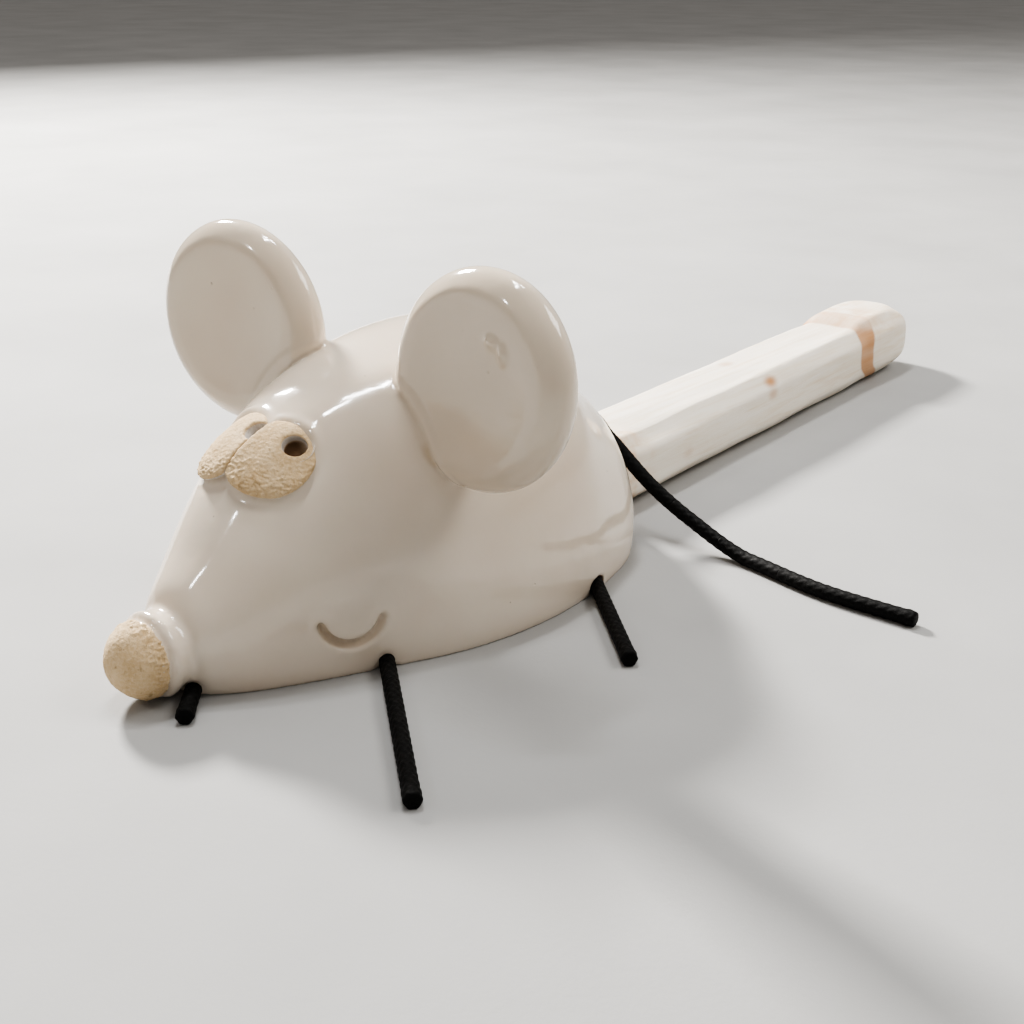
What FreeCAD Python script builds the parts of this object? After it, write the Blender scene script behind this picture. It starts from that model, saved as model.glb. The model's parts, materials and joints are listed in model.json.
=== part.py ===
import FreeCAD, Part
import math
import os

import Sketcher

# Glazed stoneware mouse with braided cord legs and tail on a whittled wooden stake.
# Millimetres. The mouse faces -Y, its left side is +X, +Z is up.
# The origin is on the table, under the middle of the body.

doc = FreeCAD.newDocument("StonewareMouse")
sheet = doc.addObject("Spreadsheet::Sheet", "Sizes")

# ---------------------------------------------------------------- driving dimensions
# Outline of the body: one row per cross-section, from the snout to the rump.
# place along Y, half width, height, height of the widest point, inset of the foot
OUTLINE = {
    "neck": (-56.0, 8.4, 16.9, 8.45, 6.7),
    "snout": (-49.0, 13.2, 25.1, 7.0, 3.2),
    "brow": (-39.0, 18.6, 36.7, 6.1, 1.7),
    "cheek": (-25.0, 25.6, 47.2, 6.0, 1.6),
    "shoulder": (-9.0, 32.6, 52.6, 6.0, 1.6),
    "belly": (9.0, 36.0, 55.8, 6.0, 1.6),
    "haunch": (27.0, 35.3, 54.2, 6.0, 1.6),
    "rump": (39.0, 32.6, 44.5, 6.0, 1.6),
}
OUTLINE_COLUMNS = ("place", "half_width", "height", "widest_at", "foot")

SIZES = {
    # rear end of the body: it closes like a ball
    "rear_end": 64.7,
    "rear_centre": 8.0,
    "rear_tuck": 4.1,
    "rear_taper_width": 0.154,
    "rear_taper_height": 0.57,
    "wall": 5.0,
    "base_trim": 1.0,
    "tool_reach": 130.0,
    "hollow_front": -46.0,
    "slab_thickness": 5.0,
    "slab_front": -53.0,
    "vent_length": 28.0,
    "vent_width": 18.0,
    "vent_place": 15.0,
    "vent_tool_height": 40.0,
    # collar and nose
    "nose_radius": 7.5,
    "nose_height": 8.3,
    "collar_front": -61.2,
    "collar_radius": 8.2,
    "collar_lip": 0.9,
    "collar_waist": 0.36,
    "nose_peg_radius": 3.0,
    "nose_peg_length": 3.0,
    "slip_gap": 0.02,
    # ears
    "ear_long": 22.4,
    "ear_short": 20.7,
    "ear_thick": 9.0,
    "ear_bulge": 8.0,
    "ear_dish_depth": 1.0,
    "ear_dish_radius": 120.0,
    "ear_side": 33.6,
    "ear_place": -6.7,
    "ear_height": 54.2,
    "ear_turn": 4.7,
    "ear_tilt": 3.7,
    "ear_roll": 22.0,
    # eyes
    "eye_half_width": 8.8,
    "eye_half_length": 8.4,
    "eye_half_thick": 2.2,
    "eye_side": 5.4,
    "eye_place": -34.14,
    "eye_height": 40.32,
    "eye_slope": 36.0,
    "eye_roll": 16.0,
    "crease_side": 0.6,
    "crease_turn": 7.0,
    "pupil_radius": 2.3,
    "pupil_depth": 3.2,
    "pupil_left_across": 3.2,
    "pupil_right_across": -6.2,
    "pupil_left_along": 4.0,
    "pupil_right_along": 3.4,
    # smile pressed into each flank
    "smile_radius": 6.2,
    "smile_groove": 0.9,
    "smile_side": 22.6,
    "smile_place": -31.4,
    "smile_height": 12.9,
    "smile_turn": 26.5,
    "smile_span": 150.0,
    # stake and its socket
    "stake_yaw": 2.3,
    "stake_side": 1.4,
    "stake_lift": 0.1,
    "stake_width": 24.0,
    "stake_thick": 18.0,
    "stake_start": 65.4,
    "stake_blade": 134.0,
    "stake_bevel": 4.0,
    "knob_length": 35.0,
    "knob_width": 25.0,
    "knob_thick": 20.0,
    "knob_bevel": 4.5,
    "knob_end_bevel": 4.0,
    "tenon_radius": 4.5,
    "tenon_height": 11.5,
    "tenon_length": 38.5,
    "tenon_clearance": 0.06,
    "socket_wall": 1.94,
    "socket_front": 27.0,
    "socket_length": 34.0,
    # cords
    "cord_radius": 1.6,
    "cord_height": 1.65,
    "cord_gap": 1.75,
    "cord_end_round": 0.8,
    "cord_hole_radius": 1.8,
    "channel_width": 3.5,
    "channel_run_out": 6.0,
    "knot_radius": 3.5,
    "knot_lift": 3.6,
    "leg_front_bend": 15.0,
    "leg_rear_bend": 12.0,
    "tail_inner": 13.5,
    "tail_hole_length": 16.0,
    "tail_lean_x": 0.28,
    "tail_lean_y": 0.95,
    "tail_lean_z": 0.12,
}

# Where each leg leaves the rim, where it ends, how far its first pivot stands out
# from the rim, and how far inside the rim its hole is.
LEGS = {
    "front_left": ((24.9, -25.1), (61.8, -56.1), 2.6, 14.0),
    "front_right": ((6.3, -56.2), (12.9, -63.3), 2.2, 22.0),
    "rear_left": ((34.4, 27.9), (59.8, 5.0), 3.2, 14.0),
    "rear_right": ((-34.4, 27.9), (-59.8, 5.0), 3.2, 14.0),
}
LEG_COLUMNS = ("rim_x", "rim_y", "tip_x", "tip_y", "standoff", "inner")

# Pivots of the tail from the rump to its tip; it drops past the stake to the table.
TAIL = (
    (5.2, 61.6, 24.6),
    (12.0, 62.0, 20.4),
    (24.6, 61.4, 11.9),
    (37.0, 61.2, 5.9),
    (51.5, 59.9, 1.65),
    (72.0, 56.1, 1.65),
    (93.5, 56.1, 1.65),
)
TAIL_NAMES = ("tail_base", "tail_upper", "tail_middle_1", "tail_middle_2", "tail_lower", "tail_tip")

# Cross-sections of the lofts: how many run from the front to the rump, and how far
# towards the rear end each closing section lies (0 at the rump, 1 at the end).
OUTSIDE_SECTIONS = 17
OUTSIDE_REAR = (0.3, 0.5, 0.66, 0.79, 0.89, 0.955)
HOLLOW_SECTIONS = 9
HOLLOW_REAR = (0.35, 0.6, 0.8, 0.93)

MARGIN = 1.0     # how far a cutting tool reaches past the face it cuts
TOUCHING = 0.01  # two places closer than this are the same place

next_row = [1]


def put(alias, value):
    cell = "A%d" % next_row[0]
    sheet.set(cell, str(value))
    sheet.setAlias(cell, alias)
    next_row[0] += 1


def fill_sheet():
    for name, row in OUTLINE.items():
        for column, value in zip(OUTLINE_COLUMNS, row):
            put("%s_%s" % (name, column), value)
    for alias, value in SIZES.items():
        put(alias, value)
    for name, (rim, tip, standoff, inner) in LEGS.items():
        for column, value in zip(LEG_COLUMNS, rim + tip + (standoff, inner)):
            put("leg_%s_%s" % (name, column), value)
    for index, pivot in enumerate(TAIL):
        for axis, value in zip("xyz", pivot):
            put("tail_pivot%d_%s" % (index, axis), value)
    doc.recompute()


def size(alias):
    return float(sheet.get(alias))


def cell(alias):
    return "Sizes." + alias


def vector(x, y, z):
    return FreeCAD.Vector(x, y, z)


def bind(item, **sizes):
    for name, expression in sizes.items():
        item.setExpression(name, expression)
    return item


def place(item, base, rotation=None):
    item.Placement = FreeCAD.Placement(base, rotation or FreeCAD.Rotation())
    return item


def primitive(kind, name, base, rotation=None, **sizes):
    item = doc.addObject("Part::" + kind, name)
    bind(item, **sizes)
    return place(item, base, rotation)


def fuse(name, items):
    result = doc.addObject("Part::MultiFuse", name)
    result.Shapes = items
    result.Refine = True
    return result


def cut(name, base, tool):
    result = doc.addObject("Part::Cut", name)
    result.Base = base
    result.Tool = tool
    return result


def common(name, first, second):
    result = doc.addObject("Part::MultiCommon", name)
    result.Shapes = [first, second]
    return result


def mirror(name, source):
    result = doc.addObject("Part::Mirroring", name)
    result.Source = source
    result.Base = vector(0, 0, 0)
    result.Normal = vector(1, 0, 0)
    return result


def plane(body, role):
    return [f for f in body.Origin.OriginFeatures if f.Role == role][0]


def sketch_on(body, name, role):
    sketch = body.newObject("Sketcher::SketchObject", name)
    sketch.AttachmentSupport = [(plane(body, role), "")]
    sketch.MapMode = "FlatFace"
    return sketch


def dimension(sketch, kind, references, value, expression):
    index = sketch.addConstraint(Sketcher.Constraint(kind, *references, value))
    sketch.setExpression("Constraints[%d]" % index, expression)


def link(sketch, first, second):
    sketch.addConstraint(Sketcher.Constraint("Coincident", *first, *second))


# ---------------------------------------------------------------- body of the mouse
def half_arch(half_width, height, widest_at, foot, lowest, steps=6):
    """Points of one side of a cross-section, from its foot up to its crown."""
    squareness = 0.8
    points = []
    for step in range(steps // 2):
        angle = math.pi / 2 * (1 - 2 * step / steps)
        inset = foot * (1 - math.cos(angle))
        drop = (widest_at - lowest) * math.sin(angle)
        points.append((half_width - inset, widest_at - drop))
    for step in range(steps + 1):
        angle = math.pi / 2 * step / steps
        across = half_width * max(math.cos(angle), 0.0) ** squareness
        points.append((across, widest_at + (height - widest_at) * math.sin(angle)))
    return points


def section_wire(y, half_width, height, widest_at, foot, lowest):
    """Flat foot line and one curve over the back, as a closed wire across Y."""
    right = half_arch(half_width, height, widest_at, foot, lowest)
    left = [(-x, z) for x, z in reversed(right[:-1])]
    points = [vector(x, y, z) for x, z in right + left]
    arch = Part.BSplineCurve()
    arch.interpolate(points)
    base_line = Part.makeLine(points[-1], points[0])
    return Part.Wire([arch.toShape(), base_line])


def rear_section(y, inset):
    """Cross-section behind the rump, where the body closes like a ball."""
    rump = size("rump_place")
    end = size("rear_end") - inset
    centre = size("rear_centre")
    reach = (y - rump) / (end - rump)
    closing = math.sqrt(1 - reach ** 2)
    half_width = size("rump_half_width") - size("rear_taper_width") * (y - rump) - inset
    height = size("rump_height") - size("rear_taper_height") * (y - rump) - inset
    widest_at = centre + (size("rump_widest_at") - centre) * closing
    lowest = -size("base_trim")
    if y > end - size("rear_tuck"):
        lowest += (centre - lowest) * (1 - math.sqrt((end - y) / size("rear_tuck")))
    return section_wire(y, half_width * closing, centre + (height - centre) * closing,
                        widest_at, size("rump_foot"), min(lowest, widest_at - MARGIN))


def outline_at(y):
    """Outline values at a place along Y: a curve through the rows above (Catmull-Rom)."""
    rows = [[size("%s_%s" % (name, column)) for column in OUTLINE_COLUMNS] for name in OUTLINE]
    index = max(i for i in range(len(rows) - 1) if rows[i][0] <= y)
    before, start, end, after = (rows[min(max(index + k, 0), len(rows) - 1)] for k in (-1, 0, 1, 2))
    span = end[0] - start[0]
    part = (y - start[0]) / span
    values = []
    for column in range(1, len(OUTLINE_COLUMNS)):
        slope_start = (end[column] - before[column]) / (end[0] - before[0])
        slope_end = (after[column] - start[column]) / (after[0] - start[0])
        values.append((2 * part ** 3 - 3 * part ** 2 + 1) * start[column]
                      + (part ** 3 - 2 * part ** 2 + part) * span * slope_start
                      + (3 * part ** 2 - 2 * part ** 3) * end[column]
                      + (part ** 3 - part ** 2) * span * slope_end)
    return values


def body_loft(inset, front, sections, rear_steps, ruled):
    """Solid through cross-sections from front to the rump, then closing at the rear."""
    wires = []
    rump = size("rump_place")
    for index in range(sections):
        y = front + (rump - front) * index / (sections - 1)
        half_width, height, widest_at, foot = outline_at(y)
        wires.append(section_wire(y, half_width - inset, height - inset, widest_at, foot,
                                  -size("base_trim")))
    reach = size("rear_end") - inset - rump
    for step in rear_steps:
        wires.append(rear_section(rump + reach * step, inset))
    return Part.makeLoft(wires, True, ruled)


def make_body_tools():
    """The outside of the body, trimmed flat at the table, and the hollow in it."""
    outside = doc.addObject("Part::Feature", "body_outside")
    skin = body_loft(0.0, size("neck_place"), OUTSIDE_SECTIONS, OUTSIDE_REAR, False)
    reach = size("tool_reach")
    under_table = Part.makeBox(reach, 2 * reach, reach, vector(-reach / 2, -reach, -reach))
    outside.Shape = skin.cut(under_table)
    hollow = doc.addObject("Part::Feature", "body_hollow")
    hollow.Shape = body_loft(size("wall"), size("hollow_front"), HOLLOW_SECTIONS, HOLLOW_REAR, True)
    return outside, hollow


def make_collar():
    """Flared ring of clay round the nose, with a shallow waist behind its lip."""
    body = doc.addObject("PartDesign::Body", "collar_ring")
    sketch = sketch_on(body, "collar_profile", "YZ_Plane")
    front = size("collar_front")
    back = size("neck_place")
    axis = size("nose_height")
    radius = size("collar_radius")
    lip = size("collar_lip")
    waist = (front + back) / 2
    outline = [(front, axis), (front, axis + radius - lip), (front + lip, axis + radius),
               (waist, axis + radius - size("collar_waist")), (back - lip, axis + radius),
               (back + MARGIN, axis + radius - lip), (back + MARGIN, axis)]
    points = [vector(y, z, 0) for y, z in outline]
    for index, point in enumerate(points):
        sketch.addGeometry(Part.LineSegment(point, points[(index + 1) % len(points)]), False)
    count = len(points)
    for index in range(count):
        link(sketch, (index, 2), ((index + 1) % count, 1))
    sketch.addConstraint(Sketcher.Constraint("Horizontal", count - 1))
    dimension(sketch, "DistanceY", (-1, 1, 0, 1), axis, cell("nose_height"))
    dimension(sketch, "DistanceY", (0, 1, 1, 2), radius, cell("collar_radius"))
    turn = body.newObject("PartDesign::Revolution", "collar_turn")
    turn.Profile = sketch
    turn.ReferenceAxis = (sketch, ["Edge%d" % count])
    turn.Angle = 360.0
    return body


def channel_tool(name):
    """Channel under the slab for a leg, and the hole its cord rises through."""
    rim, tip = leg_points(name)
    along = (tip - rim).normalize()
    hole = rim - along * size("leg_%s_inner" % name)
    turn = FreeCAD.Rotation(vector(1, 0, 0), along)
    half = turn.multVec(vector(0, size("channel_width") / 2, 0))
    below = vector(0, 0, MARGIN)
    corner = hole - half - below
    length = cell("leg_%s_inner" % name) + " + " + cell("channel_run_out")
    walls = primitive("Box", "channel_walls_" + name, corner, turn, Width=cell("channel_width"),
                      Height=cell("cord_height") + " + %g" % MARGIN, Length=length)
    roof = primitive("Cylinder", "channel_roof_" + name, hole + vector(0, 0, size("cord_height")),
                     FreeCAD.Rotation(vector(0, 0, 1), along),
                     Radius=cell("channel_width") + " / 2", Height=length)
    channel = fuse("channel_" + name, [walls, roof])
    bore = primitive("Cylinder", "bore_" + name, hole - below, None, Radius=cell("cord_hole_radius"),
                     Height=cell("slab_thickness") + " + %g" % (2 * MARGIN))
    return channel, bore


def leg_points(name):
    rim = vector(size("leg_%s_rim_x" % name), size("leg_%s_rim_y" % name), 0)
    tip = vector(size("leg_%s_tip_x" % name), size("leg_%s_tip_y" % name), 0)
    return rim, tip


def stake_frame():
    """Point on the table under the stake's axis at the origin's Y, and its turn."""
    return vector(size("stake_side"), 0, 0), FreeCAD.Rotation(vector(0, 0, 1), size("stake_yaw"))


def along_stake(distance, height):
    """Point on the stake's own axis line: distance along it, height over the table."""
    start, turn = stake_frame()
    pivot = vector(size("stake_side"), size("rear_end"), 0)
    offset = turn.multVec(vector(0, distance - size("rear_end"), 0))
    return pivot + offset + vector(0, 0, height)


def stake_rotation(tip_axis):
    """Turn that lays a primitive's own axis along the stake."""
    start, turn = stake_frame()
    return turn.multiply(FreeCAD.Rotation(tip_axis, vector(0, 1, 0)))


def tail_direction():
    """Way the tail's cord leaves the rear of the body."""
    return vector(size("tail_lean_x"), size("tail_lean_y"), size("tail_lean_z")).normalize()


def eye_tool(name, seam_turn):
    """Pad of an eye. Its seam lies on the left at a seam_turn of 0, and on the right at 180."""
    pad = primitive("Ellipsoid", name, vector(0, 0, 0), None, Radius1=cell("eye_half_thick"),
                    Radius2=cell("eye_half_width"), Radius3=cell("eye_half_length"))
    pad.Angle1, pad.Angle2, pad.Angle3 = -90, 90, 360
    turn = FreeCAD.Rotation(vector(0, 0, 1), seam_turn)
    return place(pad, eye_centre(), eye_rotation().multiply(turn))


def eye_centre():
    return vector(size("eye_side"), size("eye_place"), size("eye_height"))


def eye_rotation():
    """Local Z leaves the head at the eye, local Y runs up the brow, local X to the left."""
    tilt = FreeCAD.Rotation(vector(1, 0, 0), size("eye_slope"))
    roll = FreeCAD.Rotation(vector(0, 1, 0), size("eye_roll"))
    return tilt.multiply(roll)


def smile_tool():
    turn = FreeCAD.Rotation(vector(0, 0, 1), -size("smile_turn"))
    upright = FreeCAD.Rotation(vector(0, 0, 1), vector(1, 0, 0))
    centre = vector(size("smile_side"), size("smile_place"), size("smile_height"))
    ring = primitive("Torus", "smile_groove_tool", centre, turn.multiply(upright),
                     Radius1=cell("smile_radius"), Radius2=cell("smile_groove"))
    lower = primitive("Box", "smile_lower_half", vector(0, 0, 0), None)
    reach = 3 * size("smile_radius")
    lower.Length = lower.Width = reach
    lower.Height = reach
    drop = size("smile_radius") * math.cos(math.radians(size("smile_span") / 2))
    place(lower, centre - vector(reach / 2, reach / 2, reach + drop))
    return common("smile_left_tool", ring, lower)


def make_base_slab(outside):
    reach = size("tool_reach")
    zone = primitive("Box", "slab_zone", vector(-reach / 2, size("slab_front"), -MARGIN), None,
                     Height=cell("slab_thickness") + " + %g" % MARGIN)
    zone.Length = zone.Width = reach
    vent = primitive("Ellipsoid", "vent_tool", vector(0, size("vent_place"), 0), None,
                     Radius1=cell("vent_tool_height"), Radius2=cell("vent_width") + " / 2",
                     Radius3=cell("vent_length") + " / 2")
    vent.Angle1, vent.Angle2, vent.Angle3 = -90, 90, 360
    tools = []
    for name in LEGS:
        tools.extend(channel_tool(name))
    solid = common("slab_blank", outside, zone)
    slab = cut("base_slab", solid, fuse("slab_tools", [vent] + tools))
    return slab, zone, tools


def make_body_shell(outside, hollow, zone, channels):
    eye = eye_tool("eye_recess_left", 0)
    smile = smile_tool()
    tail_start = vector(*TAIL[0]) - tail_direction() * size("tail_hole_length")
    tail_hole = primitive("Cylinder", "tail_hole_tool", tail_start,
                          FreeCAD.Rotation(vector(0, 0, 1), tail_direction()),
                          Radius=cell("cord_hole_radius"),
                          Height=cell("tail_hole_length") + " + %g" % (4 * MARGIN))
    stake_hole = primitive("Cylinder", "stake_hole_tool",
                           along_stake(size("socket_front"), size("tenon_height")),
                           stake_rotation(vector(0, 0, 1)),
                           Radius=cell("tenon_radius") + " + " + cell("tenon_clearance"),
                           Height=cell("tool_reach") + " / 2")
    peg_hole = primitive("Cylinder", "nose_peg_hole",
                         vector(0, size("collar_front") - MARGIN, size("nose_height")),
                         FreeCAD.Rotation(vector(0, 0, 1), vector(0, 1, 0)),
                         Radius=cell("nose_peg_radius") + " + " + cell("slip_gap"),
                         Height=cell("nose_peg_length") + " + %g" % (1.2 * MARGIN))
    blank = fuse("shell_blank", [outside, make_collar()])
    front_channel = channels[2]
    tools = [zone, smile, mirror("smile_right_tool", smile), tail_hole, stake_hole, peg_hole, front_channel]
    rough = cut("shell_rough", blank, hollow)
    bored = cut("shell_bored", rough, fuse("shell_tools", tools))
    one_eyed = cut("shell_one_eyed", bored, eye)
    return cut("body_shell", one_eyed, mirror("eye_recess_right", eye))


def make_ear(outside):
    """Thick oval disc with a rounded rim and a dished face, joined to the side of the head."""
    turn = ear_rotation()
    centre = vector(size("ear_side"), size("ear_place"), size("ear_height"))
    rim = primitive("Ellipsoid", "ear_rim", centre, turn, Radius1=cell("ear_bulge"),
                    Radius2=cell("ear_long"), Radius3=cell("ear_short"))
    rim.Angle1, rim.Angle2, rim.Angle3 = -90, 90, 360
    reach = 3 * size("ear_long")
    corner = turn.multVec(vector(reach, reach, size("ear_thick"))) * 0.5
    faces = primitive("Box", "ear_faces", centre - corner, turn, Height=cell("ear_thick"))
    faces.Length = faces.Width = reach
    face_out = turn.multVec(vector(0, 0, 1))
    offset = size("ear_thick") / 2 - size("ear_dish_depth") + size("ear_dish_radius")
    dish = primitive("Sphere", "ear_dish_tool", centre + face_out * offset, None,
                     Radius=cell("ear_dish_radius"))
    disc = cut("ear_dished", common("ear_disc", rim, faces), dish)
    left = cut("ear_left", disc, outside)
    return left, mirror("ear_right", left)


def ear_rotation():
    """Local Z is the ear's face, turned a little inwards and tilted up from -Y."""
    upright = FreeCAD.Rotation(vector(0, 0, 1), vector(0, -1, 0))
    turn = FreeCAD.Rotation(vector(0, 0, 1), -size("ear_turn"))
    tilt = FreeCAD.Rotation(vector(1, 0, 0), -size("ear_tilt"))
    roll = FreeCAD.Rotation(vector(0, 0, 1), size("ear_roll"))
    return turn.multiply(tilt).multiply(upright).multiply(roll)


def crease_tool(name, side):
    """Block whose face is the crease between the eyes; side, -1 or 1, is the way it lies."""
    reach = size("tool_reach")
    slope = math.radians(size("eye_slope"))
    out = vector(0, -math.sin(slope), math.cos(slope))
    turn = FreeCAD.Rotation(out, -size("crease_turn"))
    edge = -side * size("slip_gap") / 2
    corner = vector(edge if side > 0 else edge - reach, -reach / 2, -reach / 2)
    middle = vector(size("crease_side"), size("eye_place"), size("eye_height"))
    block = primitive("Box", name + "_crease", middle + turn.multVec(corner), turn)
    block.Length = block.Width = block.Height = reach
    return block


def make_eye(name, side):
    """Unglazed oval pad, pierced for the pupil and trimmed where the two eyes meet.

    The crease cuts the pad's seam away.
    """
    pad = eye_tool(name + "_pad", 180)
    local = vector(size("pupil_%s_across" % name), size("pupil_%s_along" % name),
                   size("eye_half_thick") - size("pupil_depth"))
    base = eye_centre() + eye_rotation().multVec(local)
    pupil = primitive("Cylinder", name + "_pupil", base, eye_rotation(),
                      Radius=cell("pupil_radius"), Height=cell("pupil_depth") + " * 3")
    pierced = cut(name + "_pierced", pad, pupil)
    if side < 0:
        pierced = mirror(name + "_flipped", pierced)
    return cut("eye_" + name, pierced, crease_tool(name, -side))


def make_nose():
    """Half-ball of unglazed clay with a peg that sits in the collar."""
    body = doc.addObject("PartDesign::Body", "nose_button")
    sketch = sketch_on(body, "nose_profile", "YZ_Plane")
    radius = size("nose_radius")
    peg = size("nose_peg_radius")
    depth = size("nose_peg_length")
    points = [vector(*p, 0) for p in ((-radius, 0), (0, radius), (0, peg), (depth, peg), (depth, 0))]
    arc = Part.ArcOfCircle(Part.Circle(vector(0, 0, 0), vector(0, 0, 1), radius), math.pi / 2, math.pi)
    sketch.addGeometry(arc, False)
    for index in range(1, 4):
        sketch.addGeometry(Part.LineSegment(points[index], points[index + 1]), False)
    sketch.addGeometry(Part.LineSegment(points[4], points[0]), False)
    link(sketch, (0, 1), (1, 1))
    link(sketch, (0, 2), (4, 2))
    for index in range(1, 4):
        link(sketch, (index, 2), (index + 1, 1))
    link(sketch, (0, 3), (-1, 1))
    for index in (1, 3):
        sketch.addConstraint(Sketcher.Constraint("Vertical", index))
    for index in (2, 4):
        sketch.addConstraint(Sketcher.Constraint("Horizontal", index))
    sketch.addConstraint(Sketcher.Constraint("PointOnObject", 0, 1, -2))
    sketch.addConstraint(Sketcher.Constraint("PointOnObject", 0, 2, -1))
    dimension(sketch, "Radius", (0,), radius, cell("nose_radius"))
    dimension(sketch, "DistanceY", (-1, 1, 2, 1), peg, cell("nose_peg_radius"))
    dimension(sketch, "DistanceX", (-1, 1, 3, 1), depth, cell("nose_peg_length"))
    turn = body.newObject("PartDesign::Revolution", "nose_turn")
    turn.Profile = sketch
    turn.ReferenceAxis = (sketch, ["H_Axis"])
    turn.Angle = 360.0
    place(body, vector(0, size("collar_front") - size("slip_gap"), size("nose_height")))
    return body


def make_socket(hollow):
    """Clay tube on the slab that grips the stake's tenon behind the wall."""
    start = along_stake(size("socket_front"), size("tenon_height"))
    turn = stake_rotation(vector(0, 0, 1))
    outer = primitive("Cylinder", "socket_outside", start, turn, Height=cell("socket_length"),
                      Radius=" + ".join(map(cell, ("tenon_radius", "tenon_clearance", "socket_wall"))))
    inner = primitive("Cylinder", "socket_bore", start - turn.multVec(vector(0, 0, MARGIN)), turn,
                      Radius=cell("tenon_radius") + " + " + cell("tenon_clearance"),
                      Height=cell("tool_reach") + " / 2")
    tube = cut("socket_tube", outer, inner)
    return common("stake_socket", tube, hollow)


def stake_section(sketch, width, thick, bevel):
    """Rectangle with cut corners, centred on the vertical axis, just above the table."""
    half = size(width) / 2
    low = size("stake_lift")
    high = size(thick)
    corner = size(bevel)
    right = [(half - corner, low), (half, low + corner), (half, high - corner), (half - corner, high)]
    left = [(-x, z) for x, z in reversed(right)]
    points = [vector(x, z, 0) for x, z in right + left]
    count = len(points)
    for index in range(count):
        sketch.addGeometry(Part.LineSegment(points[index], points[(index + 1) % count]), False)
    for index in range(count):
        link(sketch, (index, 2), ((index + 1) % count, 1))
    sketch.addConstraint(Sketcher.Constraint("Vertical", 1))
    for index in (0, 1, 2, 3):
        mirrored = count - 1 - index
        sketch.addConstraint(Sketcher.Constraint("Symmetric", index, 1, mirrored, 1, -2))
    for index in (0, 2):
        dimension(sketch, "DistanceY", (index, 1, index, 2), corner, cell(bevel))
    dimension(sketch, "DistanceX", (0, 1, 0, 2), corner, cell(bevel))
    dimension(sketch, "DistanceX", (3, 1, 2, 1), corner, cell(bevel))
    dimension(sketch, "DistanceX", (5, 1, 1, 1), 2 * half, cell(width))
    dimension(sketch, "DistanceY", (-1, 1, 0, 1), low, cell("stake_lift"))
    dimension(sketch, "DistanceY", (-1, 1, 3, 1), high, cell(thick))


def make_stake():
    """Whittled blade with a thicker rounded end and a round tenon."""
    body = doc.addObject("PartDesign::Body", "stake")
    blade_sketch = sketch_on(body, "blade_section", "XZ_Plane")
    stake_section(blade_sketch, "stake_width", "stake_thick", "stake_bevel")
    blade = body.newObject("PartDesign::Pad", "blade")
    blade.Profile = blade_sketch
    blade.Reversed = True
    blade.setExpression("Length", cell("stake_blade"))
    doc.recompute()
    knob_sketch = sketch_on(body, "knob_section", "XZ_Plane")
    knob_sketch.AttachmentOffset = FreeCAD.Placement(vector(0, 0, -size("stake_blade")),
                                                     FreeCAD.Rotation())
    stake_section(knob_sketch, "knob_width", "knob_thick", "knob_bevel")
    knob = body.newObject("PartDesign::Pad", "knob")
    knob.Profile = knob_sketch
    knob.Reversed = True
    knob.setExpression("Length", cell("knob_length"))
    doc.recompute()
    tip = size("stake_blade") + size("knob_length")
    end_edges = ["Edge%d" % (i + 1) for i, e in enumerate(knob.Shape.Edges)
                 if e.BoundBox.YMin > tip - TOUCHING]
    rounding = body.newObject("PartDesign::Chamfer", "knob_end")
    rounding.Base = (knob, end_edges)
    rounding.setExpression("Size", cell("knob_end_bevel"))
    doc.recompute()
    tenon_sketch = sketch_on(body, "tenon_section", "XZ_Plane")
    tenon_sketch.addGeometry(Part.Circle(vector(0, size("tenon_height"), 0), vector(0, 0, 1),
                                         size("tenon_radius")), False)
    tenon_sketch.addConstraint(Sketcher.Constraint("PointOnObject", 0, 3, -2))
    dimension(tenon_sketch, "Radius", (0,), size("tenon_radius"), cell("tenon_radius"))
    dimension(tenon_sketch, "DistanceY", (-1, 1, 0, 3), size("tenon_height"), cell("tenon_height"))
    tenon = body.newObject("PartDesign::Pad", "tenon")
    tenon.Profile = tenon_sketch
    tenon.Reversed = False
    tenon.setExpression("Length", cell("tenon_length"))
    start, turn = stake_frame()
    place(body, along_stake(size("stake_start"), 0), turn)
    return body


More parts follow.
